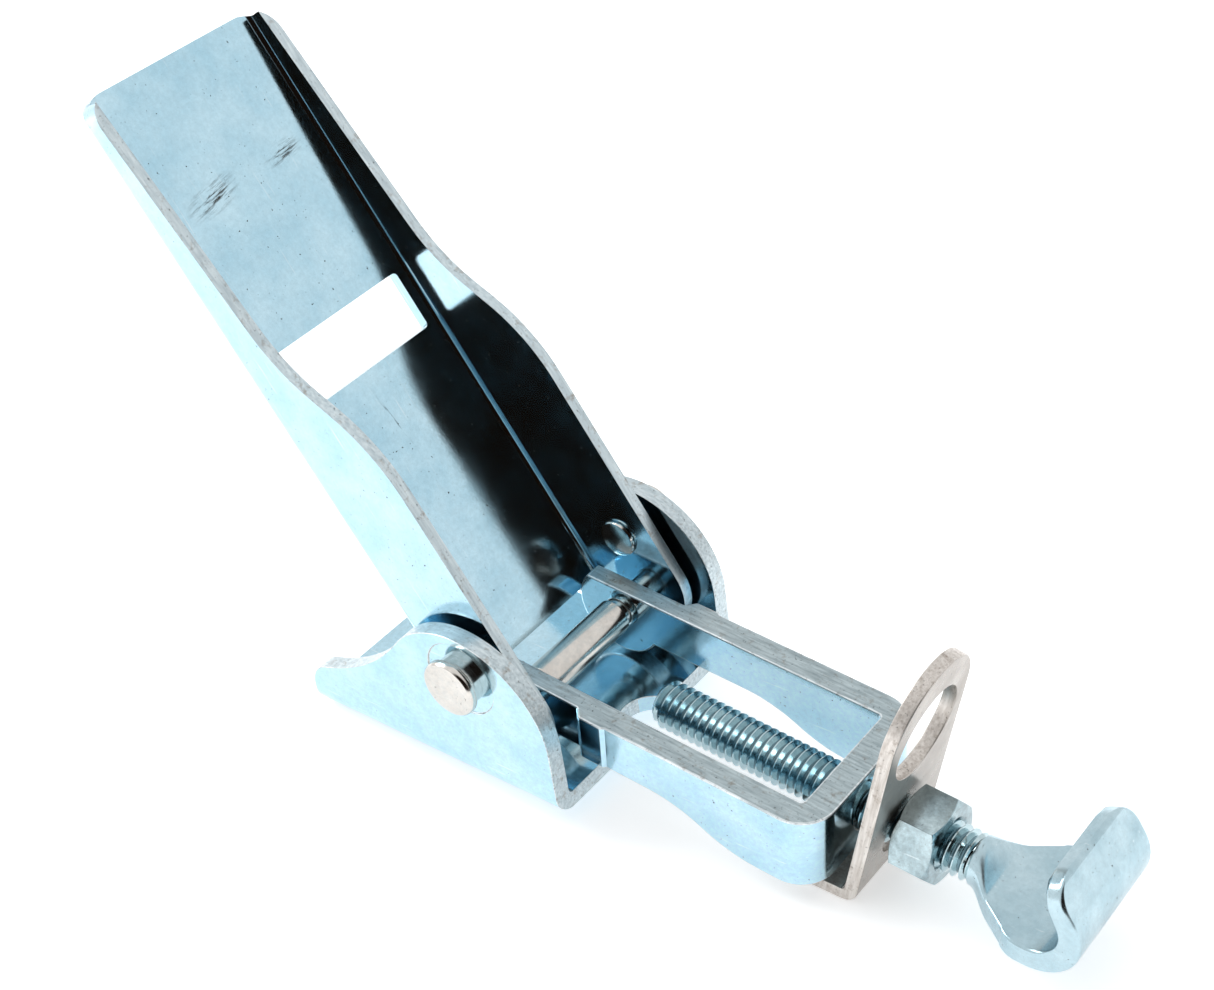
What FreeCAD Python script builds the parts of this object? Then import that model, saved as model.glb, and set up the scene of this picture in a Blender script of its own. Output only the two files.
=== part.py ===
import FreeCAD, Part
import Sketcher
import math
import os

# Toggle bolt latch: a base bracket, a channel handle, a yoke on an eccentric pin, and an
# adjustable hook bolt with its lock nut and padlock plate. Millimetres, +Z up.
# The origin is on the mounting face (z = 0), straight below the handle's pivot.
# +X points from the base to the hook, Y runs across the latch.

doc = FreeCAD.newDocument("toggle_bolt_latch")
sheet = doc.addObject("Spreadsheet::Sheet", "Sizes")

SIZES = {
    # base bracket
    "base_width": 46.2,
    "base_sheet": 3.0,
    "base_rear": 36.0,
    "base_front": 15.9,
    "base_bend": 4.0,
    "pivot_height": 21.9,
    "ear_radius": 16.3,
    "ear_centre_z": 13.3,
    "ear_waist_radius": 40.0,
    "tail_radius": 5.8,
    "tail_centre_z": 4.8,
    "coin_radius": 6.5,
    "coin_depth": 0.25,
    "notch_radius": 5.2,
    "notch_past_edge": 0.5,
    "screw_hole_radius": 3.3,
    "screw_hole_spacing": 22.0,
    "screw_hole_back": 20.0,
    # base rivets
    "rivet_radius": 2.5,
    "rivet_head_radius": 4.9,
    "rivet_rim": 1.5,
    "rivet_stand": 3.1,
    "rivet_neck_radius": 4.2,
    "rivet_button_radius": 3.3,
    "rivet_button": 0.75,
    "rivet_rounding": 0.45,
    "running_gap": 0.05,
    "side_gap": 0.1,
    # handle
    "handle_width": 37.7,
    "handle_sheet": 2.0,
    "handle_bend": 3.0,
    "handle_tip": 101.7,
    "handle_back": 12.4,
    "flange_drop": 7.1,
    "flange_end_radius": 8.2,
    "flange_end_back": 9.4,
    "flange_end_up": 1.2,
    "web_end": 5.3,
    "window_near": 45.0,
    "window_far": 55.2,
    "window_half_width": 14.4,
    "window_corner": 0.8,
    "slope_start": 37.0,
    "slope_end": 54.0,
    "slope_end_height": 3.2,
    "slope_rounding": 30.0,
    "tip_edge_height": 7.9,
    "tip_radius": 5.0,
    "open_angle": 121.5,
    # yoke pin, placed on the handle
    "pin_back": 10.2,
    "pin_up": 2.6,
    "pin_radius": 2.4,
    "pin_barrel_radius": 3.1,
    "pin_barrel_half": 9.6,
    "pin_half": 19.5,
    "pin_rounding": 0.4,
    # yoke
    "yoke_tilt": 5.0,
    "yoke_top": 4.8,
    "yoke_eye_radius": 8.0,
    "yoke_shallow": 3.9,
    "yoke_deep": 8.7,
    "yoke_inner_half": 10.75,
    "yoke_outer_half": 15.2,
    "yoke_thin_half": 14.0,
    "yoke_ridge_half": 15.6,
    "yoke_mark": 16.7,
    "yoke_inner_end": 50.1,
    "yoke_outer_end": 54.8,
    "yoke_corner": 6.0,
    "yoke_ridge_run": 4.2,
    "yoke_ridge_step": 1.4,
    "yoke_slope_start": 13.5,
    "yoke_slope_end": 23.0,
    # hook bolt, lock nut and padlock plate
    "bolt_drop": 2.15,
    "bolt_radius": 3.97,
    "bolt_rear": 16.9,
    "hook_neck": 72.0,
    "hook_fan_end": 84.5,
    "hook_half_width": 10.7,
    "hook_sheet": 3.9,
    "hook_drop": 1.7,
    "hook_bend_x": 86.3,
    "hook_bend_radius": 8.5,
    "hook_lip_height": 14.5,
    "hook_lip_lean": 30.0,
    "hook_lip_corner": 5.0,
    "bolt_rear_chamfer": 0.8,
    "hook_ramp": 10.0,
    "hook_root_share": 0.68,
    "nut_rear": 61.95,
    "nut_thick": 6.75,
    "nut_half_flats": 6.35,
    "nut_turn": 8.0,
    "nut_chamfer_run": 1.2,
    "nut_chamfer_rise": 2.0,
    "nut_countersink": 1.1,
    "plate_sheet": 2.2,
    "plate_half_width": 10.3,
    "plate_height": 42.3,
    "plate_lean": 14.0,
    "plate_foot": 9.0,
    "plate_corner_x": 59.1,
    "plate_corner_z": -3.1,
    "plate_inner_bend": 0.8,
    "plate_outer_bend": 3.0,
    "plate_bolt_hole": 4.9,
    "plate_bolt_height": 7.7,
    "plate_eye_radius": 7.7,
    "plate_eye_height": 28.9,
}
for row, (name, number) in enumerate(SIZES.items(), start=1):
    sheet.set("A%d" % row, name)
    sheet.set("B%d" % row, str(number))
    sheet.setAlias("B%d" % row, name)
doc.recompute()

PARTS = []
V = FreeCAD.Vector
MARGIN = 5.0  # how far a trimming sketch reaches past the piece


def size(name):
    """The current value of one cell of the sheet."""
    return float(getattr(sheet, name))


def bind(thing, prop, expression):
    """Tie a property to cells of the sheet; {name} in the expression is a cell."""
    names = {name: "Sizes." + name for name in SIZES}
    thing.setExpression(prop, expression.format(**names))


def new_body(label):
    """A body for one real piece; its label names the piece's file."""
    body = doc.addObject("PartDesign::Body", label)
    body.Label = label
    PARTS.append(body)
    return body


def new_sketch(body, name, role, offset=None):
    """A sketch on one of the body's origin planes, moved out along the plane's normal."""
    sketch = body.newObject("Sketcher::SketchObject", name)
    plane = [item for item in body.Origin.OriginFeatures if item.Role == role][0]
    sketch.AttachmentSupport = [(plane, "")]
    sketch.MapMode = "FlatFace"
    if offset:
        bind(sketch, ".AttachmentOffset.Base.z", offset)
    return sketch


def draw(sketch, corners):
    """A closed outline through corners (x, y, radius); each radius rounds its corner."""
    count = len(corners)
    trims = []
    for index, (x, y, radius) in enumerate(corners):
        here = V(x, y, 0)
        before = V(*corners[index - 1][:2], 0) - here
        after = V(*corners[(index + 1) % count][:2], 0) - here
        before.normalize()
        after.normalize()
        if radius <= 0:
            trims.append((here, None, here))
            continue
        half = before.getAngle(after) / 2
        reach = radius / math.tan(half)
        middle = before + after
        middle.normalize()
        crown = here + middle * (radius / math.sin(half) - radius)
        trims.append((here + before * reach, crown, here + after * reach))
    edges = []
    for index, (start, crown, end) in enumerate(trims):
        if crown:
            edges.append(Part.Arc(start, crown, end))
        following = trims[(index + 1) % count][0]
        if end.distanceToPoint(following) > 1e-6:
            edges.append(Part.LineSegment(end, following))
    add_loop(sketch, edges)


def add_loop(sketch, edges):
    """Add edges that already meet end to end, and join each to the next."""
    first = sketch.GeometryCount
    for edge in edges:
        sketch.addGeometry(edge, False)
    for index, edge in enumerate(edges):
        nearest = []
        following = (index + 1) % len(edges)
        for end in (1, 2):
            for start in (1, 2):
                gap = sketch.getPoint(first + index, end).distanceToPoint(
                    sketch.getPoint(first + following, start))
                nearest.append((gap, end, start))
        _, end, start = min(nearest)
        sketch.addConstraint(Sketcher.Constraint(
            "Coincident", first + index, end, first + following, start))


def circle(sketch, x, y, expression):
    """A circle whose radius is tied to the sheet, with its centre held where it is drawn."""
    index = sketch.addGeometry(Part.Circle(V(x, y, 0), V(0, 0, 1), 1.0), False)
    radius = sketch.addConstraint(Sketcher.Constraint("Radius", index, 1.0))
    sketch.addConstraint(Sketcher.Constraint("DistanceX", -1, 1, index, 3, x))
    sketch.addConstraint(Sketcher.Constraint("DistanceY", -1, 1, index, 3, y))
    bind(sketch, "Constraints[%d]" % radius, expression)


def frame_around(sketch, low, high):
    """The outer rectangle of a trimming sketch: what lies between it and the outline goes."""
    draw(sketch, [(low[0], low[1], 0), (high[0], low[1], 0),
                  (high[0], high[1], 0), (low[0], high[1], 0)])


def pad(body, sketch, expression, both_ways=False):
    """Grow the sketch into a solid of the given length."""
    feature = body.newObject("PartDesign::Pad", sketch.Name + "_pad")
    feature.Profile = sketch
    feature.Midplane = both_ways
    bind(feature, "Length", expression)
    doc.recompute()
    return feature


def cut(body, sketch, expression=None, backwards=False):
    """Cut the sketch through everything, or to a depth from its own plane."""
    before = body.Shape.Volume
    feature = body.newObject("PartDesign::Pocket", sketch.Name + "_cut")
    feature.Profile = sketch
    if expression:
        feature.Reversed = backwards
        bind(feature, "Length", expression)
    else:
        feature.Type = "ThroughAll"
        feature.Midplane = True
    doc.recompute()
    if body.Shape.Volume >= before - 1e-6:
        raise RuntimeError(sketch.Name + " cuts nothing")
    return feature


def turned(body, sketch, axis="V_Axis", cutting=False):
    """Spin the sketch a full turn about one of its own axes, as a solid or as a cut."""
    kind = "PartDesign::Groove" if cutting else "PartDesign::Revolution"
    feature = body.newObject(kind, sketch.Name + "_turned")
    feature.Profile = sketch
    feature.ReferenceAxis = (sketch, [axis])
    feature.Angle = 360.0
    doc.recompute()
    return feature


def meeting_arc(big, big_radius, small, small_radius, waist):
    """Centre of the hollow arc that touches two round ends from outside, above them."""
    reach_big = big_radius + waist
    reach_small = small_radius + waist
    span = small - big
    along = (reach_big ** 2 - reach_small ** 2 + span.Length ** 2) / (2 * span.Length)
    rise = math.sqrt(reach_big ** 2 - along ** 2)
    direction = V(span)
    direction.normalize()
    return big + direction * along + V(direction.y, -direction.x, 0) * rise


def toward(centre, target, radius):
    """The point at the given radius from a centre, on the way to a target."""
    direction = target - centre
    direction.normalize()
    return centre + direction * radius


def channel_section(half_width, back, sheet_size, bend, open_end):
    """Corners of a U section: its back lies at y = back, its two walls reach y = open_end."""
    inner = half_width - sheet_size
    inner_bend = bend - sheet_size
    side = 1 if back > open_end else -1
    floor = back - side * sheet_size
    return [(-half_width, open_end, 0), (-half_width, back, bend), (half_width, back, bend),
            (half_width, open_end, 0), (inner, open_end, 0), (inner, floor, inner_bend),
            (-inner, floor, inner_bend), (-inner, open_end, 0)]


# ---------------------------------------------------------------- base bracket
def make_base_bracket():
    """Folded U bracket: two humped ears with low tails, joined by the mounting plate."""
    body = new_body("base_bracket")
    ear_top = size("ear_centre_z") + size("ear_radius")

    section = new_sketch(body, "base_section", "YZ_Plane", "-{base_rear}")
    draw(section, channel_section(size("base_width") / 2, 0, size("base_sheet"),
                                  size("base_bend"), ear_top))
    pad(body, section, "{base_rear} + {base_front}")

    hump = V(size("base_front") - size("ear_radius"), size("ear_centre_z"), 0)
    tail = V(size("tail_radius") - size("base_rear"), size("tail_centre_z"), 0)
    waist = meeting_arc(hump, size("ear_radius"), tail, size("tail_radius"),
                        size("ear_waist_radius"))
    hump_end = toward(hump, waist, size("ear_radius"))
    tail_start = toward(tail, waist, size("tail_radius"))
    front = V(size("base_front"), hump.y, 0)
    rear = V(-size("base_rear"), tail.y, 0)
    hump_top = hump + V(0, size("ear_radius"), 0)
    tail_crown = toward(tail, (tail_start + rear) / 2, size("tail_radius"))
    waist_middle = toward(waist, (hump_end + tail_start) / 2, size("ear_waist_radius"))

    ears = new_sketch(body, "ear_outline", "XZ_Plane")
    frame_around(ears, (rear.x - MARGIN, -MARGIN), (front.x + MARGIN, ear_top + MARGIN))
    add_loop(ears, [
        Part.Arc(front, hump_top, hump_end),
        Part.Arc(hump_end, waist_middle, tail_start),
        Part.Arc(tail_start, tail_crown, rear),
        Part.LineSegment(rear, V(rear.x, 0, 0)),
        Part.LineSegment(V(rear.x, 0, 0), V(front.x, 0, 0)),
        Part.LineSegment(V(front.x, 0, 0), front),
    ])
    cut(body, ears)

    holes = new_sketch(body, "base_plate_holes", "XY_Plane")
    circle(holes, size("base_front") + size("notch_past_edge"), 0, "{notch_radius}")
    for side in (-1, 1):
        circle(holes, -size("screw_hole_back"), side * size("screw_hole_spacing") / 2,
               "{screw_hole_radius}")
    cut(body, holes)

    rivet_holes = new_sketch(body, "ear_rivet_holes", "XZ_Plane")
    circle(rivet_holes, 0, size("pivot_height"), "{rivet_radius}")
    cut(body, rivet_holes)

    for name, offset, backwards in (("near", "{base_width} / 2", False),
                                    ("far", "-{base_width} / 2", True)):
        coin = new_sketch(body, "coined_ring_" + name, "XZ_Plane", offset)
        circle(coin, 0, size("pivot_height"), "{coin_radius}")
        cut(body, coin, "{coin_depth}", backwards)


# ---------------------------------------------------------------- base rivets
def make_base_rivet(label, side):
    """Stub rivet: flat head outside the ear, stem through ear and handle, formed button inside."""
    body = new_body(label)
    ear_face = size("base_width") / 2 - size("coin_depth")
    head_face = size("base_width") / 2 + size("rivet_stand")
    handle_face = size("handle_width") / 2 - size("handle_sheet") - size("side_gap")
    rim_face = head_face - size("rivet_rim")
    button_face = handle_face - size("rivet_button")
    stem, neck = size("rivet_radius"), size("rivet_neck_radius")
    head, button = size("rivet_head_radius"), size("rivet_button_radius")
    rounding = size("rivet_rounding")
    outline = [(0, head_face, 0), (head, head_face, rounding), (head, rim_face, rounding),
               (neck, rim_face, 0), (neck, ear_face, 0), (stem, ear_face, 0),
               (stem, handle_face, 0), (button, handle_face, 0),
               (button, button_face, rounding), (0, button_face, 0)]
    profile = new_sketch(body, label + "_profile", "XY_Plane")
    draw(profile, [(across, side * out, radius) for across, out, radius in outline])
    turned(body, profile)
    bind(body, ".Placement.Base.z", "{pivot_height}")


# ---------------------------------------------------------------- handle
def make_handle():
    """Channel handle, drawn closed with its pivot at the body's origin, then swung open."""
    body = new_body("handle")
    half = size("handle_width") / 2
    end_x = -size("flange_end_back") - size("flange_end_radius")

    section = new_sketch(body, "handle_section", "YZ_Plane",
                         "-{flange_end_back} - {flange_end_radius}")
    draw(section, channel_section(half, size("handle_back"), size("handle_sheet"),
                                  size("handle_bend"), -size("flange_drop")))
    pad(body, section, "{flange_end_back} + {flange_end_radius} + {handle_tip}")

    # The free edge of the flanges: straight by the pivot, an S bend past the window, then
    # a low edge that runs out to the finger end.
    end_radius = size("flange_end_radius")
    side_view = new_sketch(body, "flange_outline", "XZ_Plane")
    low_edge, back, tip = -size("flange_drop"), size("handle_back"), size("handle_tip")
    rounding = size("slope_rounding")
    frame_around(side_view, (end_x - MARGIN, low_edge - MARGIN), (tip + MARGIN, back + MARGIN))
    draw(side_view, [(end_x, low_edge, end_radius),
                     (size("slope_start"), low_edge, rounding),
                     (size("slope_end"), size("slope_end_height"), rounding),
                     (tip, size("tip_edge_height"), 0), (tip, back, 0),
                     (-size("web_end"), back, 0),
                     (end_x, size("flange_end_up") + end_radius, end_radius)])
    cut(body, side_view)

    plan = new_sketch(body, "handle_plan", "XY_Plane")
    frame_around(plan, (end_x - MARGIN, -half - MARGIN), (tip + MARGIN, half + MARGIN))
    draw(plan, [(end_x, -half, 0), (tip, -half, size("tip_radius")),
                (tip, half, size("tip_radius")), (end_x, half, 0)])
    cut(body, plan)

    openings = new_sketch(body, "handle_openings", "XY_Plane")
    wide = size("window_half_width")
    inner = half - size("handle_sheet")
    corner = size("window_corner")
    window_near, window_far = size("window_near"), size("window_far")
    draw(openings, [(window_near, -wide, corner), (window_far, -wide, corner),
                    (window_far, wide, corner), (window_near, wide, corner)])
    draw(openings, [(end_x - MARGIN, -inner, 0), (-size("web_end"), -inner, corner),
                    (-size("web_end"), inner, corner), (end_x - MARGIN, inner, 0)])
    cut(body, openings)

    holes = new_sketch(body, "handle_holes", "XZ_Plane")
    circle(holes, 0, 0, "{rivet_radius} + {running_gap}")
    circle(holes, -size("pin_back"), size("pin_up"), "{pin_radius}")
    cut(body, holes)
    set_on_handle(body)


def set_on_handle(body):
    """Swing a piece drawn on the closed handle to the open rest position."""
    body.Placement.Rotation = FreeCAD.Rotation(V(0, 1, 0), -size("open_angle"))
    bind(body, ".Placement.Base.z", "{pivot_height}")
    bind(body, ".Placement.Rotation.Angle", "-{open_angle}")


def make_yoke_pin():
    """Shouldered pin: a thick barrel between the arms, thinner journals out to the handle."""
    body = new_body("yoke_pin")
    profile = new_sketch(body, "yoke_pin_profile", "XY_Plane")
    barrel, journal = size("pin_barrel_radius"), size("pin_radius")
    shoulder, end = size("pin_barrel_half"), size("pin_half")
    rounding = size("pin_rounding")
    draw(profile, [(0, -end, 0), (journal, -end, rounding), (journal, -shoulder, 0),
                   (barrel, -shoulder, rounding), (barrel, shoulder, rounding),
                   (journal, shoulder, 0), (journal, end, rounding), (0, end, 0)])
    turned(body, profile)
    body.Placement = FreeCAD.Placement(pin_at_rest(), FreeCAD.Rotation(V(0, 1, 0), 0))


def pin_at_rest():
    """Where the yoke pin's axis crosses the middle of the latch, with the handle open."""
    swing = FreeCAD.Rotation(V(0, 1, 0), -size("open_angle"))
    offset = swing.multVec(V(-size("pin_back"), 0, size("pin_up")))
    return offset + V(0, 0, size("pivot_height"))


# ---------------------------------------------------------------- yoke
def set_on_yoke(body):
    """Pieces drawn from the yoke pin's axis, along the level bolt, get the yoke's tilt."""
    body.Placement = FreeCAD.Placement(
        pin_at_rest(), FreeCAD.Rotation(V(0, 1, 0), size("yoke_tilt")))
    bind(body, ".Placement.Rotation.Angle", "{yoke_tilt}")


def make_yoke():
    """Thick U strap: two arms with eyes on the pin and a tapped cross-piece at the front."""
    body = new_body("yoke")
    inner, outer = size("yoke_inner_half"), size("yoke_outer_half")
    thin, ridge = size("yoke_thin_half"), size("yoke_ridge_half")
    mark, eye = size("yoke_mark"), size("yoke_eye_radius")
    rear = -eye - 1

    plan = new_sketch(body, "yoke_plan", "XY_Plane", "-{yoke_deep}")
    ridge_start = mark - size("yoke_ridge_run")
    near_arm = [(rear, -inner, 0), (rear, -thin, 0),
                (ridge_start - size("yoke_ridge_step"), -thin, 0.6),
                (ridge_start, -ridge, 0.8), (mark, -ridge, 0.5), (mark + 0.5, -outer, 0.3)]
    front = [(size("yoke_outer_end"), -outer, size("yoke_corner")),
             (size("yoke_outer_end"), outer, size("yoke_corner"))]
    far_arm = [(x, -y, radius) for x, y, radius in reversed(near_arm)]
    hollow = [(size("yoke_inner_end"), inner, 0.6), (size("yoke_inner_end"), -inner, 0.6)]
    draw(plan, near_arm + front + far_arm + hollow)
    pad(body, plan, "{yoke_deep} + {yoke_top}")

    # Side view: the arms are shallow over the base plate and deepen towards the cross-piece.
    side_view = new_sketch(body, "yoke_side", "XZ_Plane")
    top, shallow, deep = size("yoke_top"), -size("yoke_shallow"), -size("yoke_deep")
    end_x = size("yoke_outer_end") + 1
    frame_around(side_view, (rear - MARGIN, deep - MARGIN), (end_x + MARGIN, top + MARGIN))
    eye_top = V(-math.sqrt(eye ** 2 - top ** 2), top, 0)
    eye_bottom = V(math.sqrt(eye ** 2 - shallow ** 2), shallow, 0)
    dip = V(mark + size("yoke_slope_start"), shallow, 0)
    rise = V(mark + size("yoke_slope_end"), deep, 0)
    slope = rise - dip
    half_turn = math.atan2(-slope.y, slope.x) / 2
    bend = (slope.Length / 2) / math.tan(half_turn)
    flat = V(slope.Length / 2, 0, 0)
    middle = (dip + rise) / 2
    crest_mid = V(dip.x - flat.x + bend * math.sin(half_turn),
                  dip.y - bend * (1 - math.cos(half_turn)), 0)
    trough_mid = V(rise.x + flat.x - bend * math.sin(half_turn),
                   rise.y + bend * (1 - math.cos(half_turn)), 0)
    add_loop(side_view, [
        Part.Arc(eye_top, V(-eye, 0, 0), V(0, -eye, 0)),
        Part.Arc(V(0, -eye, 0), V(eye * math.cos(1.0), -eye * math.sin(1.0), 0), eye_bottom),
        Part.LineSegment(eye_bottom, dip - flat),
        Part.Arc(dip - flat, crest_mid, middle),
        Part.Arc(middle, trough_mid, rise + flat),
        Part.LineSegment(rise + flat, V(end_x, deep, 0)),
        Part.LineSegment(V(end_x, deep, 0), V(end_x, top, 0)),
        Part.LineSegment(V(end_x, top, 0), eye_top),
    ])
    cut(body, side_view)

    pin_hole = new_sketch(body, "yoke_pin_hole", "XZ_Plane")
    circle(pin_hole, 0, 0, "{pin_radius} + {running_gap}")
    cut(body, pin_hole)

    tapped = new_sketch(body, "yoke_tapped_hole", "YZ_Plane", "{yoke_inner_end} - 1")
    circle(tapped, 0, -size("bolt_drop"), "{bolt_radius} + {running_gap}")
    cut(body, tapped, "{yoke_outer_end} - {yoke_inner_end} + 2", True)
    set_on_yoke(body)


# ---------------------------------------------------------------- hook bolt and lock nut
def set_on_bolt(body):
    """Pieces drawn round the bolt's own axis, from the point straight below the yoke pin."""
    place = FreeCAD.Placement(pin_at_rest(), FreeCAD.Rotation(V(0, 1, 0), size("yoke_tilt")))
    drop = FreeCAD.Placement(V(0, 0, -size("bolt_drop")), FreeCAD.Rotation())
    body.Placement = place.multiply(drop)


def make_hook_bolt():
    """Screw whose front end is forged flat, fanned out and bent up into a wide hook."""
    body = new_body("hook_bolt")
    radius, neck = size("bolt_radius"), size("hook_neck")
    thick, wide = size("hook_sheet"), size("hook_half_width")
    core = size("hook_root_share") * radius
    chamfer = size("bolt_rear_chamfer")

    shank = new_sketch(body, "shank_profile", "XZ_Plane")
    start = size("bolt_rear")
    draw(shank, [(start, 0, 0), (start, radius - chamfer, 0), (start + chamfer, radius, 0),
                 (neck + 1, radius, 0), (neck + 6, core / 2, 0), (neck + 6, 0, 0)])
    turned(body, shank, "H_Axis")

    # Side view of the flat part: ramps down from the neck, runs level, then curls up.
    bend_x, lean = size("hook_bend_x"), math.radians(size("hook_lip_lean"))
    bend_out = size("hook_bend_radius")
    bend_in = bend_out - thick
    under = -size("hook_drop") - thick / 2
    over = under + thick
    centre = V(bend_x, under + bend_out, 0)
    lip_foot = V(math.cos(lean), math.sin(lean), 0)
    lip_way = V(-math.sin(lean), math.cos(lean), 0)
    rise = size("hook_lip_height") - centre.y - lip_foot.y * bend_out
    lip_top = centre + lip_foot * bend_out + lip_way * (rise / lip_way.y)
    half_turn = lean / 2 - math.pi / 4
    crown = V(math.cos(half_turn), math.sin(half_turn), 0)
    down = V(0, -1, 0)
    root = neck - 3
    level = root + size("hook_ramp")
    flat = new_body("hook_flat_end")
    PARTS.remove(flat)
    side_view = new_sketch(flat, "hook_side", "XZ_Plane")
    add_loop(side_view, [
        Part.LineSegment(V(root, -core, 0), V(level, under, 0)),
        Part.LineSegment(V(level, under, 0), centre + down * bend_out),
        Part.Arc(centre + down * bend_out, centre + crown * bend_out,
                 centre + lip_foot * bend_out),
        Part.LineSegment(centre + lip_foot * bend_out, lip_top),
        Part.LineSegment(lip_top, lip_top - lip_foot * thick),
        Part.LineSegment(lip_top - lip_foot * thick, centre + lip_foot * bend_in),
        Part.Arc(centre + lip_foot * bend_in, centre + crown * bend_in,
                 centre + down * bend_in),
        Part.LineSegment(centre + down * bend_in, V(level, over, 0)),
        Part.LineSegment(V(level, over, 0), V(root, core, 0)),
        Part.LineSegment(V(root, core, 0), V(root, -core, 0)),
    ])
    pad(flat, side_view, "2 * {hook_half_width}", both_ways=True)

    fan = new_sketch(flat, "hook_fan", "XY_Plane")
    far = bend_x + bend_out + MARGIN
    frame_around(fan, (root - MARGIN, -wide - MARGIN), (far + MARGIN, wide + MARGIN))
    near_side = [(root - 2, -core, 0), (neck + 1, -core, 4.0),
                 (size("hook_fan_end"), -wide, 3.0), (far, -wide, 0)]
    draw(fan, near_side + [(x, -y, r) for x, y, r in reversed(near_side)])
    cut(flat, fan)
    round_lip_corners(flat, wide, lip_top.y)

    joined = body.newObject("PartDesign::Boolean", "shank_and_hook")
    joined.Type = "Fuse"
    joined.addObjects([flat])
    doc.recompute()
    set_on_bolt(body)


def round_lip_corners(body, wide, lip_height):
    """Round off the two upper corners of the hook's lip."""
    corner = size("hook_lip_corner")
    start_z, top_z = lip_height - corner, lip_height + 0.01
    corners = new_sketch(body, "lip_corners", "YZ_Plane")
    for side in (-1, 1):
        start = V(side * wide, start_z, 0)
        end = V(side * (wide - corner), start_z + corner, 0)
        middle = start + V(side * corner * (math.sqrt(0.5) - 1), corner * math.sqrt(0.5), 0)
        outside = V(side * (wide + 1), top_z + 1, 0)
        add_loop(corners, [
            Part.Arc(start, middle, end),
            Part.LineSegment(end, V(end.x, outside.y, 0)),
            Part.LineSegment(V(end.x, outside.y, 0), outside),
            Part.LineSegment(outside, V(outside.x, start.y, 0)),
            Part.LineSegment(V(outside.x, start.y, 0), start),
        ])
    cut(body, corners)


def make_lock_nut():
    """Hexagon nut, chamfered and countersunk at both faces, in front of the plate."""
    body = new_body("lock_nut")
    corner = size("nut_half_flats") / math.cos(math.radians(30))
    section = new_sketch(body, "nut_hexagon", "YZ_Plane", "{nut_rear}")
    points = []
    for index in range(6):
        angle = math.radians(60 * index + size("nut_turn"))
        points.append((corner * math.cos(angle), corner * math.sin(angle), 0))
    draw(section, points)
    circle(section, 0, 0, "{bolt_radius} + {running_gap}")
    pad(body, section, "{nut_thick}")

    chamfer = new_sketch(body, "nut_chamfer", "XZ_Plane")
    rear, front = size("nut_rear"), size("nut_rear") + size("nut_thick")
    start = size("nut_half_flats") - 0.15
    run, rise = size("nut_chamfer_run"), size("nut_chamfer_rise")
    thread, sink = size("bolt_radius") - 0.5, size("nut_countersink")
    for face, inward in ((rear, 1), (front, -1)):
        draw(chamfer, [(face, start, 0), (face + inward * run, start + rise, 0),
                       (face, start + rise, 0)])
        draw(chamfer, [(face, thread, 0), (face, thread + sink, 0),
                       (face + inward * sink, thread, 0)])
    turned(body, chamfer, "H_Axis", cutting=True)
    set_on_bolt(body)


# ---------------------------------------------------------------- padlock plate
def make_padlock_plate():
    """L-shaped plate: a round padlock eye on top, the bolt through it, a foot under the yoke."""
    body = new_body("padlock_plate")
    thick, lean = size("plate_sheet"), math.radians(size("plate_lean"))
    foot_way = V(-math.cos(lean), -math.sin(lean), 0)
    foot_down = V(math.sin(lean), -math.cos(lean), 0)
    outer_corner = V(thick, -thick * (1 - math.sin(lean)) / math.cos(lean), 0)
    tip = foot_way * size("plate_foot")
    under_tip = tip + foot_down * thick

    side_view = new_sketch(body, "plate_side", "XZ_Plane")
    draw(side_view, [(0, size("plate_height"), 0), (0, 0, size("plate_inner_bend")),
                     (tip.x, tip.y, 0), (under_tip.x, under_tip.y, 0),
                     (outer_corner.x, outer_corner.y, size("plate_outer_bend")),
                     (thick, size("plate_height"), 0)])
    pad(body, side_view, "2 * {plate_half_width}", both_ways=True)

    face = new_sketch(body, "plate_face", "YZ_Plane")
    wide, top = size("plate_half_width"), size("plate_height")
    low = under_tip.y - MARGIN
    frame_around(face, (-wide - MARGIN, low - MARGIN), (wide + MARGIN, top + MARGIN))
    add_loop(face, [
        Part.LineSegment(V(-wide, low, 0), V(wide, low, 0)),
        Part.LineSegment(V(wide, low, 0), V(wide, top - wide, 0)),
        Part.Arc(V(wide, top - wide, 0), V(0, top, 0), V(-wide, top - wide, 0)),
        Part.LineSegment(V(-wide, top - wide, 0), V(-wide, low, 0)),
    ])
    cut(body, face)

    holes = new_sketch(body, "plate_holes", "YZ_Plane")
    circle(holes, 0, size("plate_bolt_height"), "{plate_bolt_hole}")
    circle(holes, 0, size("plate_eye_height"), "{plate_eye_radius}")
    cut(body, holes)
    body.Placement = FreeCAD.Placement(
        V(size("plate_corner_x"), 0, size("plate_corner_z")),
        FreeCAD.Rotation(V(0, 1, 0), size("plate_lean")))
    bind(body, ".Placement.Base.x", "{plate_corner_x}")
    bind(body, ".Placement.Base.z", "{plate_corner_z}")
    bind(body, ".Placement.Rotation.Angle", "{plate_lean}")


make_base_bracket()
make_base_rivet("base_rivet_near", -1)
make_base_rivet("base_rivet_far", 1)
make_handle()
make_yoke_pin()
make_yoke()
make_hook_bolt()
make_lock_nut()
make_padlock_plate()
doc.recompute()

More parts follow.
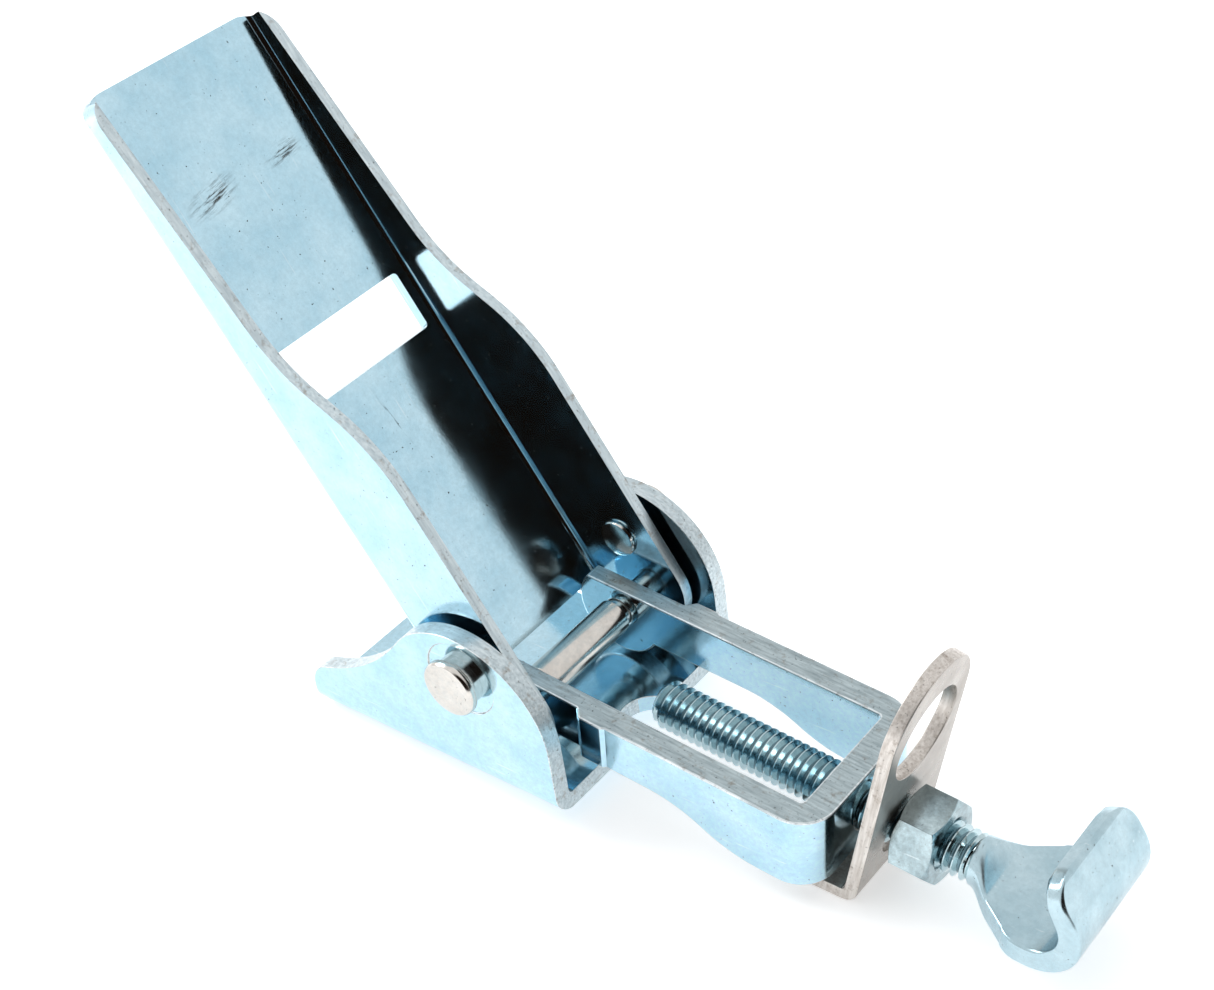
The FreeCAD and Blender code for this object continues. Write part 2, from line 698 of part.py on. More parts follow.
for thing in doc.Objects:
    if "Invalid" in thing.State or "Error" in thing.State:
        raise RuntimeError("%s is in state %s" % (thing.Name, thing.State))
os.makedirs("parts", exist_ok=True)
for part in PARTS:
    if part.Shape.isNull() or not part.Shape.isValid():
        raise RuntimeError(part.Label + " has no valid shape")
    if len(part.Shape.Solids) != 1:
        raise RuntimeError("%s has %d solids" % (part.Label, len(part.Shape.Solids)))
    part.Shape.exportStep("parts/%s.step" % part.Label)
    box = part.Shape.BoundBox
    print("%-18s volume %8.1f  x %6.1f..%6.1f  y %6.1f..%6.1f  z %6.1f..%6.1f" % (
        part.Label, part.Shape.Volume, box.XMin, box.XMax, box.YMin, box.YMax,
        box.ZMin, box.ZMax))
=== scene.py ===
import bpy
import bmesh
import math
from mathutils import Matrix, Vector


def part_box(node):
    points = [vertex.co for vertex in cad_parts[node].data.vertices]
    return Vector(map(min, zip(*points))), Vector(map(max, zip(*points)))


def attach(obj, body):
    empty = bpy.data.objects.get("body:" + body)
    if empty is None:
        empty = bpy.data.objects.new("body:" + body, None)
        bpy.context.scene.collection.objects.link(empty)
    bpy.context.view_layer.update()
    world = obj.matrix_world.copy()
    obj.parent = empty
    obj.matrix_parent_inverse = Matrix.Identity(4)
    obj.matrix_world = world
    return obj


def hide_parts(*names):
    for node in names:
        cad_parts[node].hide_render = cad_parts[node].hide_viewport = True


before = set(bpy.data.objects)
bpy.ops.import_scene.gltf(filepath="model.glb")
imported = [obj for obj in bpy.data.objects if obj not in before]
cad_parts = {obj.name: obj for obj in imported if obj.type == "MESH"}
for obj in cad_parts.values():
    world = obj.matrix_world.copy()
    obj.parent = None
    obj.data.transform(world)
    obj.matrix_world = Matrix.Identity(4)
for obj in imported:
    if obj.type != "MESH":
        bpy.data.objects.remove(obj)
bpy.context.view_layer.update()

MM = 0.001
WELD = 0.002 * MM              # vertices nearer than this are one vertex
OPEN_TURN = math.radians(121.5)
YOKE_TILT = math.radians(5.0)
PLATE_LEAN = math.radians(14.0)
PIVOT = Vector((0.0, 0.0, 21.9)) * MM
PIN = Vector((3.1126, 0.0, 11.8446)) * MM
BOLT_DROP = 2.15 * MM          # the bolt's axis runs this far below the yoke pin's
PLATE_CORNER = Vector((59.1, 0.0, -3.1)) * MM
WEB_MIDDLE = 11.4 * MM         # height of the handle's web above its pivot, half way through

# Turns from each piece's own drawing to the place where it rests
on_handle = Matrix.Translation(PIVOT) @ Matrix.Rotation(-OPEN_TURN, 4, "Y")
on_yoke = Matrix.Translation(PIN) @ Matrix.Rotation(YOKE_TILT, 4, "Y")
on_bolt = on_yoke @ Matrix.Translation((0.0, 0.0, -BOLT_DROP))
on_plate = Matrix.Translation(PLATE_CORNER) @ Matrix.Rotation(PLATE_LEAN, 4, "Y")


# ------------------------------------------------------------------ materials
RELIEF_DEPTH = 0.04 * MM       # height of the plating's own grain


def colour(hex_code):
    """An sRGB hex colour as linear values."""
    parts = [int(hex_code[index:index + 2], 16) / 255 for index in (0, 2, 4)]
    linear = [part / 12.92 if part <= 0.04045 else ((part + 0.055) / 1.055) ** 2.4
              for part in parts]
    return (*linear, 1.0)


def add(tree, kind, inputs=None, **settings):
    """Add a node; inputs are values, colours or output sockets by socket name or number."""
    node = tree.nodes.new("ShaderNode" + kind)
    for name, value in settings.items():
        setattr(node, name, value)
    for name, value in (inputs or {}).items():
        if isinstance(value, bpy.types.NodeSocket):
            tree.links.new(value, node.inputs[name])
        else:
            node.inputs[name].default_value = value
    return node


def ramp(tree, value, stops):
    """Colours along a value: stops are (place, hex colour)."""
    node = add(tree, "ValToRGB", {"Fac": value})
    points = node.color_ramp.elements
    for index, (place, hex_code) in enumerate(stops):
        point = points[index] if index < len(points) else points.new(place)
        point.position = place
        point.color = colour(hex_code)
    return node.outputs["Color"]


def span(tree, value, low, high, start=0.0, end=1.0):
    """Stretch a value from low..high to start..end, held at the ends."""
    node = add(tree, "MapRange", {"Value": value, "From Min": low, "From Max": high,
                                  "To Min": start, "To Max": end})
    return node.outputs["Result"]


def blend(tree, amount, first, second, mode="MIX"):
    """Mix two colours, or two sockets, by an amount."""
    node = add(tree, "Mix", {0: amount, 6: first, 7: second}, data_type="RGBA",
               blend_type=mode)
    return node.outputs[2]


def maths(tree, operation, first, second):
    """One sum on two values or sockets."""
    node = add(tree, "Math", {0: first, 1: second}, operation=operation)
    return node.outputs[0]


def noise(tree, place, size_mm, detail=4.0, roughness=0.55, distortion=0.0):
    """Soft blotches about as wide as size_mm, fixed to the piece."""
    node = add(tree, "TexNoise", {"Vector": place, "Scale": 1.0 / (size_mm * MM),
                                  "Detail": detail, "Roughness": roughness,
                                  "Distortion": distortion})
    return node.outputs["Fac"]


def streaks(tree, place, turn, stretch, size_mm):
    """Fine lines along the piece's own X: noise squeezed along it."""
    turned = add(tree, "Mapping", {"Vector": place, "Rotation": turn})
    squeezed = add(tree, "Mapping", {"Vector": turned.outputs[0],
                                     "Scale": (1.0 / stretch, 1.0, 1.0)})
    return noise(tree, squeezed.outputs[0], size_mm, 3.0, 0.6)


def rubbed(tree, place, centre, half_size, angle):
    """Strength of one rubbing mark on the inner face of the open handle's web."""
    from_pivot = add(tree, "Mapping", {"Vector": place, "Location": tuple(-PIVOT)})
    along_handle = add(tree, "Mapping", {"Vector": from_pivot.outputs[0],
                                         "Rotation": (0.0, OPEN_TURN, 0.0)})
    depth = add(tree, "SeparateXYZ", {0: along_handle.outputs[0]}).outputs["Z"]
    from_centre = add(tree, "Mapping", {"Vector": along_handle.outputs[0],
                                        "Location": (-centre[0], -centre[1], 0.0)})
    along_mark = add(tree, "Mapping", {"Vector": from_centre.outputs[0],
                                       "Rotation": (0.0, 0.0, -angle)})
    squeezed = add(tree, "Mapping", {"Vector": along_mark.outputs[0],
                                     "Scale": (1.0 / half_size[0], 1.0 / half_size[1], 0.0)})
    away = add(tree, "VectorMath", {0: squeezed.outputs[0]}, operation="LENGTH")
    inside = span(tree, away.outputs["Value"], 1.0, 0.25)
    brush = add(tree, "Mapping", {"Vector": along_mark.outputs[0], "Scale": (0.12, 1.0, 1.0)})
    torn = span(tree, noise(tree, brush.outputs[0], 0.5, 4.0, 0.7), 0.46, 0.62)
    mark = maths(tree, "MULTIPLY", inside, torn)
    return maths(tree, "MULTIPLY", mark, maths(tree, "LESS_THAN", depth, WEB_MIDDLE))


def empty_material(name):
    """A new material with no nodes, its node tree, and the piece's own coordinates."""
    material = bpy.data.materials.new(name)
    material.use_nodes = True
    tree = material.node_tree
    tree.nodes.clear()
    return material, tree, add(tree, "TexCoord").outputs["Object"]


def metal(tree, body, rough, height, strength):
    """Finish a material as bare metal with a fine relief."""
    relief = add(tree, "Bump", {"Height": height, "Strength": strength,
                                "Distance": RELIEF_DEPTH})
    shader = add(tree, "BsdfPrincipled", {"Base Color": body, "Metallic": 1.0,
                                          "Roughness": rough,
                                          "Normal": relief.outputs["Normal"]})
    add(tree, "OutputMaterial", {"Surface": shader.outputs["BSDF"]})


def plated(name, light, deep, gloss, grain, turn=(0.0, 0.0, 0.0), marks=(), dulling=0.22,
           dull="7e9199"):
    """A plated metal: tint clouds, dull patches, fine scratches and small dark pits."""
    material, tree, place = empty_material(name)
    clouds = noise(tree, place, 9.0, 5.0, 0.6)
    body = ramp(tree, clouds, [(0.3, deep), (0.7, light)])
    mottle = span(tree, noise(tree, place, 0.9, 4.0, 0.7), 0.35, 0.75, 0.0, dulling)
    body = blend(tree, mottle, body, colour(dull))
    specks = span(tree, noise(tree, place, 0.55, 2.0, 0.5), 0.71, 0.78)
    body = blend(tree, specks, body, colour("4a453e"))
    lines = streaks(tree, place, turn, 26.0, 0.5)
    scratch = span(tree, lines, 0.66, 0.74, 0.0, 0.4)
    body = blend(tree, scratch, body, colour("eef4f6"))
    rough = span(tree, clouds, 0.3, 0.7, gloss + 0.07, gloss - 0.03)
    rough = maths(tree, "ADD", rough, maths(tree, "MULTIPLY", specks, 0.3))
    for centre, half_size, angle in marks:
        mark = rubbed(tree, place, centre, half_size, angle)
        body = blend(tree, mark, body, colour("3b3632"))
        rough = maths(tree, "ADD", rough, maths(tree, "MULTIPLY", mark, 0.35))
    height = maths(tree, "ADD", noise(tree, place, grain, 6.0, 0.65),
                   maths(tree, "MULTIPLY", lines, 0.25))
    metal(tree, body, rough, height, 0.16)
    return material


def sheared(name, light, deep, stain, turn=(0.0, 0.0, 0.0)):
    """The cut side of plated sheet: matt, streaked by the die, with stains and dark lines."""
    material, tree, place = empty_material(name)
    lines = streaks(tree, place, turn, 14.0, 0.45)
    body = ramp(tree, lines, [(0.25, deep), (0.7, light)])
    stains = span(tree, noise(tree, place, 1.6, 5.0, 0.7), 0.56, 0.74, 0.0, 0.75)
    body = blend(tree, stains, body, colour(stain))
    dark = span(tree, noise(tree, place, 0.45, 3.0, 0.6), 0.62, 0.74, 0.0, 0.8)
    body = blend(tree, dark, body, colour("2c2825"))
    rough = span(tree, lines, 0.3, 0.7, 0.42, 0.3)
    metal(tree, body, rough, maths(tree, "ADD", lines, dark), 0.25)
    return material


# Rubbing marks inside the handle: middle along and across it, half length and width, turn
SCUFFS = [((80.2 * MM, -6.9 * MM), (6.2 * MM, 2.7 * MM), math.radians(80)),
          ((80.5 * MM, 8.4 * MM), (4.6 * MM, 1.9 * MM), math.radians(84)),
          ((36.8 * MM, -1.0 * MM), (6.4 * MM, 0.22 * MM), math.radians(-7))]

# Zinc electroplate with a clear blue passivate: a pale cold mirror with soft clouds
zinc_flat = plated("blue_zinc_sheet", "c6e5f2", "aed5e6", 0.10, 0.35)
zinc_handle = plated("blue_zinc_handle", "c6e5f2", "aed5e6", 0.10, 0.35,
                     turn=(0.0, OPEN_TURN, 0.0), marks=SCUFFS)
# The same plate on forged and rolled steel: greyer, with a coarser grain; the thread roots take
# a darker copy of it, painted shade
zinc_forged = plated("blue_zinc_forging", "c6dce4", "a2bfca", 0.22, 0.5)
zinc_thread = plated("blue_zinc_rolled_thread", "cfe2e6", "9fbac2", 0.12, 0.3)
zinc_root_painted_shade = plated("blue_zinc_thread_root_painted_shade", "6f8c96", "3f5a64", 0.25, 0.3)
zinc_nut = plated("blue_zinc_nut", "ccdfe4", "9fb4bb", 0.20, 0.7, dulling=0.45, dull="474f4f")
# Nickel plate: warmer and yellower than zinc, and duller on sheet
nickel = plated("nickel_plate", "e6e2dc", "c8c2bb", 0.16, 0.4)
nickel_sheet = plated("nickel_plated_sheet", "bdb5ad", "9d948c", 0.26, 0.4)
# Sides left by the shears: plated over torn metal, dull grey with tan stains
sheared_zinc = sheared("sheared_zinc_side", "d7e2e6", "a9b8be", "8c7f70")
sheared_strap = sheared("sheared_strap_side", "bccace", "8c9a9f", "7f7466")
sheared_handle = sheared("sheared_handle_side", "dbe7eb", "b2c2c9", "8a7b6b",
                         turn=(0.0, OPEN_TURN, 0.0))
sheared_nickel = sheared("sheared_nickel_side", "e0dbd6", "b8b0a8", "7d6c5d",
                         turn=(0.0, math.radians(76), 0.0))
# Corners painted brighter as a highlight along the rounded edges, with brown stains where dirt
# stays in them
painted_highlight_zinc = sheared("zinc_corner_painted_highlight", "eef4f6", "aeb9bd", "4a3a30")


# ------------------------------------------------------------------ pieces
def make_object(name, bm, materials, body, node):
    """Turn a finished bmesh into a piece that stands for a node and rides on its body."""
    mesh = bpy.data.meshes.new(name)
    bm.to_mesh(mesh)
    bm.free()
    mesh.set_sharp_from_angle(angle=math.radians(32))
    piece = bpy.data.objects.new(name, mesh)
    bpy.context.scene.collection.objects.link(piece)
    level = piece.modifiers.new("flat_faces_stay_flat", "WEIGHTED_NORMAL")
    level.weight = 100
    level.keep_sharp = True
    for material in materials:
        mesh.materials.append(material)
    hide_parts(node)
    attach(piece, body)
    return piece


def softened(name, node, body, materials, corner, is_cut=None, place=None):
    """A node's own shape with its sharp corners eased, and its cut sides marked."""
    bm = bmesh.new()
    bm.from_mesh(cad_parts[node].data)
    bmesh.ops.remove_doubles(bm, verts=bm.verts, dist=WELD)
    bmesh.ops.dissolve_limit(bm, angle_limit=math.radians(0.5), verts=bm.verts,
                             edges=bm.edges)
    ease(bm, corner, is_cut, place, len(materials) > 2)
    return make_object(name, bm, materials, body, node)


def ease(bm, corner, is_cut=None, place=None, painted_highlight_corners=False):
    """Round the sharp corners; cut sides take the second material, and the rounded corners take
    the third, a brighter painted highlight.
    """
    back = place.inverted() if place else Matrix.Identity(4)
    turn = back.to_3x3()
    for face in bm.faces:
        face.smooth = True
        if is_cut and is_cut(back @ face.calc_center_median(), turn @ face.normal):
            face.material_index = 1
    hard = [edge for edge in bm.edges
            if len(edge.link_faces) == 2 and edge.calc_face_angle() > math.radians(38)]
    eased = bmesh.ops.bevel(bm, geom=hard, offset=corner, offset_type="OFFSET", segments=2,
                            profile=0.5, affect="EDGES", clamp_overlap=True, material=-1)
    for face in eased["faces"]:
        face.smooth = True
        # the rounded corners take the brighter corner material: a painted highlight
        if painted_highlight_corners:
            face.material_index = 2


BASE_SHEET_TOP = 3.1 * MM      # just above the mounting plate
WEB_START = 8.5 * MM           # above the flanges' free edge, below the handle's web


def ear_side(point, normal):
    """Cut sides of the base: everything round the outline, but not the plate's own faces."""
    return abs(normal.y) < 0.5 and not (abs(normal.z) > 0.99 and point.z < BASE_SHEET_TOP)


def flange_side(point, normal):
    """Cut sides of the handle: the flanges' free edges, the window and both ends."""
    return abs(normal.y) < 0.5 and not (abs(normal.z) > 0.6 and point.z > WEB_START)


def strap_side(point, normal):
    """Cut sides of the yoke's strap: its top and bottom."""
    return abs(normal.z) > 0.35


def plate_side(point, normal):
    """Cut sides of the padlock plate: its outline and the walls of its holes."""
    return abs(normal.x) < 0.4 and not (normal.z < -0.5 and point.z < 0)


sheet = [zinc_flat, sheared_zinc, painted_highlight_zinc]
softened("base_bracket_piece", "base_bracket", "base", sheet, 0.3 * MM, ear_side)
softened("handle_piece", "handle", "handle", [zinc_handle, sheared_handle, painted_highlight_zinc],
         0.25 * MM, flange_side, on_handle)
softened("yoke_piece", "yoke", "yoke", [zinc_flat, sheared_strap, painted_highlight_zinc],
         0.4 * MM, strap_side, on_yoke)
softened("lock_nut_piece", "lock_nut", "nut", [zinc_nut], 0.12 * MM)


def turned_piece(name, node, body, centre, outline):
    """A lathe-turned piece: (along Y, radius) points in millimetres spun round centre."""
    bm = bmesh.new()
    line = [bm.verts.new(centre + Vector((0, along, radius)) * MM) for along, radius in outline]
    edges = [bm.edges.new(pair) for pair in zip(line, line[1:])]
    bmesh.ops.spin(bm, geom=line + edges, cent=centre, axis=(0, 1, 0), dvec=(0, 0, 0),
                   angle=2 * math.pi, steps=72, use_merge=True)
    bmesh.ops.remove_doubles(bm, verts=bm.verts, dist=WELD)
    bmesh.ops.recalc_face_normals(bm, faces=bm.faces)
    for face in bm.faces:
        face.smooth = True
    make_object(name, bm, [nickel], body, node)


# Half of the yoke pin, from its middle out: barrel, shoulder and journal
HALF_PIN = [(9.2, 3.1), (9.5, 3.02), (9.6, 2.8), (9.6, 2.4), (19.2, 2.4), (19.42, 2.3),
            (19.48, 2.1), (19.48, 0.0)]
turned_piece("yoke_pin_piece", "yoke_pin", "handle", PIN,
             [(-along, radius) for along, radius in reversed(HALF_PIN)] + HALF_PIN)
# A base rivet, from the middle of its head inwards: turned rings, rim, neck, stem, button
RIVET = [(26.2, 0.0), (26.2, 1.5), (26.18, 1.62), (26.2, 1.75), (26.2, 3.0), (26.18, 3.1),
         (26.2, 3.2), (26.19, 4.3), (26.1, 4.62), (25.85, 4.82), (25.6, 4.88), (24.9, 4.88),
         (24.72, 4.8), (24.7, 4.6), (24.7, 4.2), (22.86, 4.2), (22.86, 2.5), (16.75, 2.5),
         (16.75, 3.1), (16.65, 3.25), (16.4, 3.28), (16.15, 3.1), (16.03, 2.7), (16.02, 0.0)]
for side, sign in (("near", -1), ("far", 1)):
    turned_piece("base_rivet_%s_piece" % side, "base_rivet_" + side, "base", PIVOT,
                 [(sign * along, radius) for along, radius in RIVET])


PLATE_HALF_WIDTH = 10.28 * MM
PLATE_HEIGHT = 42.28 * MM
PLATE_SHEET = 2.2 * MM
PLATE_FOOT = 9.0 * MM
PLATE_BEND_INSIDE = 0.8 * MM
BOLT_HOLE = (7.7 * MM, 4.9 * MM)       # height of the middle, radius
PADLOCK_EYE = (28.9 * MM, 7.7 * MM)


def make_padlock_plate():
    """The eye plate: a round-topped slab with two holes, its lower end bent into a foot."""
    half, height, thick = PLATE_HALF_WIDTH, PLATE_HEIGHT, PLATE_SHEET
    bend = math.radians(90) - PLATE_LEAN
    start = PLATE_BEND_INSIDE * math.tan(bend / 2)
    bm = bmesh.new()
    outline = [bm.verts.new((0, -half, start))]
    for step in range(49):
        angle = math.pi * (1 - step / 48)
        outline.append(bm.verts.new((0, half * math.cos(angle),
                                     height - half + half * math.sin(angle))))
    outline.append(bm.verts.new((0, half, start)))
    for first, second in zip(outline, outline[1:] + outline[:1]):
        bm.edges.new((first, second))
    for middle, radius in (BOLT_HOLE, PADLOCK_EYE):
        place = Matrix.Translation((0, 0, middle)) @ Matrix.Rotation(math.pi / 2, 4, "Y")
        bmesh.ops.create_circle(bm, segments=64, radius=radius, matrix=place)
    faces = bmesh.ops.triangle_fill(bm, use_beauty=True, edges=bm.edges[:],
                                    normal=(-1, 0, 0))["geom"]
    faces = [item for item in faces if isinstance(item, bmesh.types.BMFace)]
    bmesh.ops.solidify(bm, geom=faces, thickness=thick)
    if min(vert.co.x for vert in bm.verts) < -0.1 * MM:
        bmesh.ops.translate(bm, vec=(thick, 0, 0), verts=bm.verts)
    bmesh.ops.recalc_face_normals(bm, faces=bm.faces)
    lower = [face for face in bm.faces
             if all(abs(vert.co.z - start) < 0.01 * MM for vert in face.verts)]
    turned = bmesh.ops.spin(bm, geom=lower, cent=(-PLATE_BEND_INSIDE, 0, start), axis=(0, 1, 0),
                            dvec=(0, 0, 0), angle=bend, steps=10, use_merge=False)
    last = [item for item in turned["geom_last"] if isinstance(item, bmesh.types.BMFace)]
    grown = bmesh.ops.extrude_face_region(bm, geom=last)["geom"]
    foot = Vector((-math.cos(PLATE_LEAN), 0, -math.sin(PLATE_LEAN))) * (PLATE_FOOT - start)
    bmesh.ops.translate(bm, vec=foot,
                        verts=[item for item in grown if isinstance(item, bmesh.types.BMVert)])
    bmesh.ops.delete(bm, geom=[face for face in last if face.is_valid], context="FACES_ONLY")
    inside = [face for face in bm.faces
              if all(len(edge.link_faces) > 2 for edge in face.edges)]
    bmesh.ops.delete(bm, geom=inside, context="FACES_ONLY")
    bmesh.ops.recalc_face_normals(bm, faces=bm.faces)
    ease(bm, 0.22 * MM, plate_side)
    bmesh.ops.transform(bm, matrix=on_plate, verts=bm.verts)
    make_object("padlock_plate_piece", bm, [nickel_sheet, sheared_nickel], "plate",
                "padlock_plate")


make_padlock_plate()


# ------------------------------------------------------------------ hook bolt
PITCH = 1.4111 * MM            # 18 threads to the inch
BOLT_RADIUS = 3.95 * MM
ROOT_RADIUS = 3.12 * MM
THREAD_START = 16.9 * MM
THREAD_END = 74.2 * MM
THREAD_RUNOUT = 2.2 * MM
HOOK_START = THREAD_END - 0.6 * MM     # the forging reaches back over the last thread
FLATTENING = 4.6 * MM                  # length over which the round neck turns flat
FANNING = 9.6 * MM                     # length over which it spreads to full width
HOOK_THICK = 3.86 * MM
HOOK_WIDE = 10.65 * MM
HOOK_LEVEL = -1.7 * MM
BEND_X = 86.3 * MM
BEND_RADIUS = 8.5 * MM - HOOK_THICK / 2
LIP_LEAN = math.radians(30)
LIP_LENGTH = 6.7 * MM
LIP_CORNER = 4.6 * MM
EDGE_ROUND = 0.6 * MM


def thread_surface():
    """A rolled right-hand thread: one zigzag line spun once round with one pitch of travel."""
    bm = bmesh.new()
    crest, flank, root = PITCH / 8, PITCH * 5 / 16, PITCH / 4
    turns = math.ceil((THREAD_END - THREAD_START) / PITCH) + 2
    line = []
    for turn in range(turns):
        start = THREAD_START - 1.5 * PITCH + turn * PITCH
        for along, radius in ((0, BOLT_RADIUS), (crest, BOLT_RADIUS),
                              (crest + flank, ROOT_RADIUS),
                              (crest + flank + root / 2, ROOT_RADIUS - 0.04 * MM),
                              (crest + flank + root, ROOT_RADIUS)):
            line.append(bm.verts.new((start + along, 0.0, radius)))
    edges = [bm.edges.new(pair) for pair in zip(line, line[1:])]
    steps = 48
    bmesh.ops.spin(bm, geom=line + edges, cent=(0, 0, 0), axis=(-1, 0, 0),
                   dvec=(PITCH / steps, 0, 0), angle=2 * math.pi, steps=steps,
                   use_merge=False)
    bmesh.ops.remove_doubles(bm, verts=bm.verts, dist=0.004 * MM)
    for end, way in ((THREAD_START, -1), (THREAD_END, 1)):
        bmesh.ops.bisect_plane(bm, geom=bm.verts[:] + bm.edges[:] + bm.faces[:],
                               plane_co=(end, 0, 0), plane_no=(way, 0, 0), clear_outer=True)
    # The cut end is chamfered, and the roots rise to the full neck where the rolling stops.
    for vert in bm.verts:
        radius = math.hypot(vert.co.y, vert.co.z)
        chamfer = ROOT_RADIUS - 0.1 * MM + 0.9 * (vert.co.x - THREAD_START)
        runout = (vert.co.x - THREAD_END + THREAD_RUNOUT) / THREAD_RUNOUT
        wanted = min(radius, chamfer)
        if runout > 0:
            wanted = radius + (BOLT_RADIUS - 0.05 * MM - radius) * min(runout, 1.0)
        vert.co.y *= wanted / radius
        vert.co.z *= wanted / radius
    rim = [edge for edge in bm.edges
           if edge.is_boundary and abs(edge.verts[0].co.x - THREAD_START) < 0.01 * MM]
    bmesh.ops.holes_fill(bm, edges=rim, sides=0)
    return bm


def hook_section(half_wide, half_thick, corner):
    """A flat bar's section with round corners, as (across, up) points going round once."""
    points = []
    for quarter, (side, up) in enumerate(((1, 1), (-1, 1), (-1, -1), (1, -1))):
        for step in range(8):
            angle = math.radians(90) * (quarter + step / 7)
            points.append((side * (half_wide - corner) + corner * math.cos(angle),
                           up * (half_thick - corner) + corner * math.sin(angle)))
        if quarter in (0, 2):
            ends = (half_wide - corner) * side
            for step in range(1, 8):
                points.append((ends * (1 - step / 4), up * half_thick))
    return points


def hook_stations():
    """Middle of the bar, its direction, half width, half thickness and corner, along it."""
    stations = []
    count = 30
    for index in range(count + 1):
        along = HOOK_START + (BEND_X - HOOK_START) * index / count
        drop = smooth_step((along - HOOK_START - 0.2 * MM) / FLATTENING)
        level = HOOK_LEVEL * drop
        thick = BOLT_RADIUS + (HOOK_THICK / 2 - BOLT_RADIUS) * drop
        spread = soft_ramp((along - THREAD_END) / FANNING)
        wide = BOLT_RADIUS + (HOOK_WIDE - BOLT_RADIUS) * spread
        corner = BOLT_RADIUS + (EDGE_ROUND - BOLT_RADIUS) * drop
        stations.append((Vector((along, 0, level)), 0.0, wide, thick - 0.01 * MM,
                         min(corner, thick - 0.02 * MM)))
    centre = Vector((BEND_X, 0, HOOK_LEVEL + BEND_RADIUS))
    sweep = math.radians(90) + LIP_LEAN
    for index in range(1, 25):
        turn = sweep * index / 24
        place = centre + Vector((math.sin(turn), 0, -math.cos(turn))) * BEND_RADIUS
        thin = HOOK_THICK / 2 * (1 - 0.1 * index / 24)
        stations.append((place, turn, HOOK_WIDE, thin, EDGE_ROUND))
    foot = stations[-1][0]
    way = Vector((math.cos(sweep), 0, math.sin(sweep)))
    for index in range(1, 13):
        along = index / 12
        left = LIP_LENGTH * (1 - along)
        inset = max(0.0, LIP_CORNER - left)
        wide = HOOK_WIDE - LIP_CORNER + math.sqrt(LIP_CORNER ** 2 - inset ** 2)
        wide = max(wide, HOOK_WIDE - LIP_CORNER)
        thin = HOOK_THICK / 2 * (0.9 - 0.22 * along)
        if index == 12:
            thin -= 0.3 * MM
            wide -= 0.3 * MM
        stations.append((foot + way * LIP_LENGTH * along, sweep, wide, thin, EDGE_ROUND))
    return stations


def smooth_step(value):
    """Ease from 0 to 1 with level ends."""
    value = min(max(value, 0.0), 1.0)
    return value * value * (3 - 2 * value)


def soft_ramp(value):
    """A straight ramp from 0 to 1 with its two corners rounded off."""
    value = min(max(value, -0.1), 1.15)
    if value < 0.15:
        return (value + 0.1) ** 2 / 0.5
    if value > 0.85:
        return 1.0 - (1.15 - value) ** 2 / 0.6
    return value - 0.025


def make_hook_bolt():
    """The whole screw: threaded shank, round neck, and the forged hook drawn out of it."""
    bm = thread_surface()
    stations = hook_stations()
    count = len(hook_section(1.0, 1.0, 0.5))
    ring = bmesh.ops.create_circle(bm, segments=count, radius=1.0)["verts"]
    edges = list({edge for vert in ring for edge in vert.link_edges})
    for index, (middle, turn, wide, thick, corner) in enumerate(stations):
        if index:
            grown = bmesh.ops.extrude_edge_only(bm, edges=edges)["geom"]
            before = ring
            edges = [item for item in grown if isinstance(item, bmesh.types.BMEdge)
                     and item.is_boundary]
            after = {item for item in grown if isinstance(item, bmesh.types.BMVert)}
            ring = [next(edge.other_vert(vert) for edge in vert.link_edges
                         if edge.other_vert(vert) in after) for vert in before]
        for vert, (across, up) in zip(ring, hook_section(wide, thick, corner)):
            vert.co = middle + Vector((-math.sin(turn) * up, across, math.cos(turn) * up))
    bmesh.ops.holes_fill(bm, edges=edges, sides=0)
    bmesh.ops.recalc_face_normals(bm, faces=bm.faces)
    for face in bm.faces:
        face.smooth = True
        middle = face.calc_center_median()
        if middle.x > HOOK_START:
            face.material_index = 1
        # faces down in the thread roots take the darker copy: painted shade in the roots
        elif middle.x > THREAD_START and math.hypot(middle.y, middle.z) < ROOT_RADIUS:
            face.material_index = 2
    bmesh.ops.transform(bm, matrix=on_bolt, verts=bm.verts)
    make_object("hook_bolt_piece", bm, [zinc_thread, zinc_forged, zinc_root_painted_shade], "bolt",
                "hook_bolt")


make_hook_bolt()


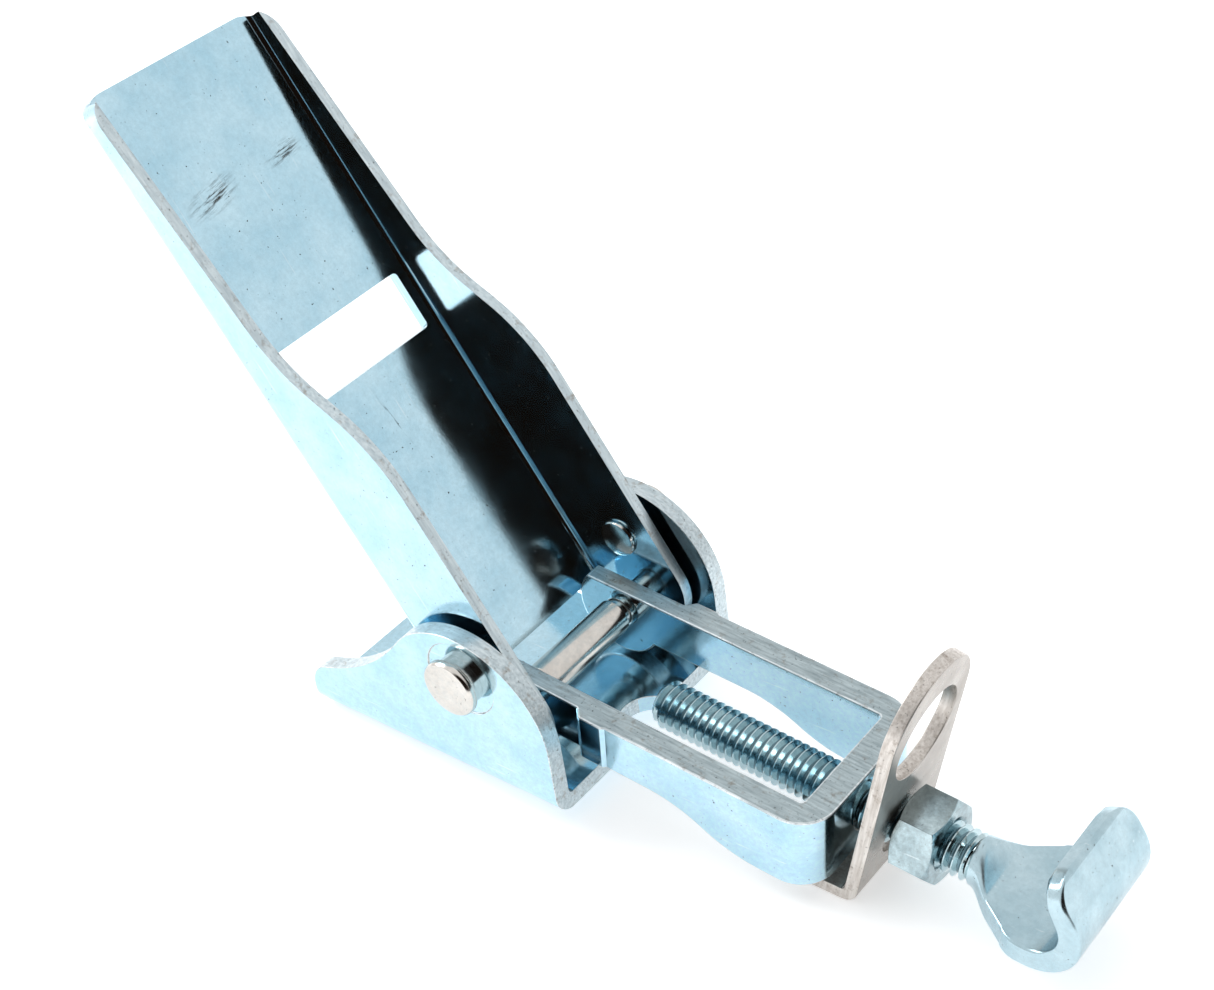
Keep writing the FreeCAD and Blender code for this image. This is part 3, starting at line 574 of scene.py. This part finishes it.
# ------------------------------------------------------------------ floor, light, camera
def make_floor():
    """A pale sheet that the latch stands on by its tail and its padlock plate's foot."""
    rear = Vector((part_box("base_bracket")[0].x, 0, -0.02 * MM))
    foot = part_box("padlock_plate")[0]
    slope = math.atan2(rear.z - foot.z, foot.x + 3 * MM - rear.x)
    bm = bmesh.new()
    bmesh.ops.create_grid(bm, x_segments=1, y_segments=1, size=3.0)
    place = Matrix.Translation(rear) @ Matrix.Rotation(slope, 4, "Y")
    bmesh.ops.transform(bm, matrix=place, verts=bm.verts)
    mesh = bpy.data.meshes.new("floor")
    bm.to_mesh(mesh)
    bm.free()
    floor = bpy.data.objects.new("floor", mesh)
    bpy.context.scene.collection.objects.link(floor)
    paper = bpy.data.materials.new("matt_white_paper")
    paper.use_nodes = True
    shader = paper.node_tree.nodes["Principled BSDF"]
    shader.inputs["Base Color"].default_value = colour("f4f5f6")
    shader.inputs["Roughness"].default_value = 0.9
    shader.inputs["Emission Color"].default_value = colour("ffffff")
    shader.inputs["Emission Strength"].default_value = 0.52
    mesh.materials.append(paper)


def make_light():
    """A bright tent all round, with one dark side that the channels mirror."""
    world = bpy.data.worlds.new("studio")
    bpy.context.scene.world = world
    world.use_nodes = True
    tree = world.node_tree
    tree.nodes.clear()
    way = add(tree, "TexCoord").outputs["Generated"]
    dark_side = Vector((0.80, -0.58, 0.15)).normalized()
    facing = add(tree, "VectorMath", {0: way, 1: tuple(dark_side)}, operation="DOT_PRODUCT")
    amount = span(tree, facing.outputs["Value"], 0.48, 0.66)
    shade = blend(tree, amount, colour("ffffff"), colour("1c0f09"))
    background = add(tree, "Background", {"Color": shade, "Strength": 0.97})
    add(tree, "OutputWorld", {"Surface": background.outputs[0]})
    lamp = bpy.data.lights.new("window", "AREA")
    lamp.size = 0.6
    lamp.energy = 7.0
    light = bpy.data.objects.new("window", lamp)
    bpy.context.scene.collection.objects.link(light)
    light.location = (-0.85, -0.15, 0.75)
    light.rotation_euler = (-light.location).to_track_quat("-Z", "Y").to_euler()


def make_camera():
    """A short telephoto view down on the near side of the latch, from the hook's end."""
    side, height, roll = math.radians(42.806), math.radians(36.041), math.radians(-8.555)
    back = Vector((math.sin(side) * math.cos(height), -math.cos(side) * math.cos(height),
                   math.sin(height)))
    right = Vector((math.cos(side), math.sin(side), 0))
    up = back.cross(right)
    turned_right = right * math.cos(roll) + up * math.sin(roll)
    turned_up = up * math.cos(roll) - right * math.sin(roll)
    lens = bpy.data.cameras.new("camera")
    lens.sensor_width = 36.0
    lens.lens = 63.05
    lens.shift_x = -0.0056
    lens.clip_start = 0.01
    camera = bpy.data.objects.new("camera", lens)
    bpy.context.scene.collection.objects.link(camera)
    spot = Vector((-0.401, 17.471, 30.0)) * MM + back * 342.87 * MM
    rows = [(turned_right[axis], turned_up[axis], back[axis], spot[axis]) for axis in range(3)]
    camera.matrix_world = Matrix(rows + [(0, 0, 0, 1)])
    bpy.context.scene.camera = camera


make_floor()
make_light()
make_camera()
bpy.context.scene.view_settings.view_transform = "Standard"
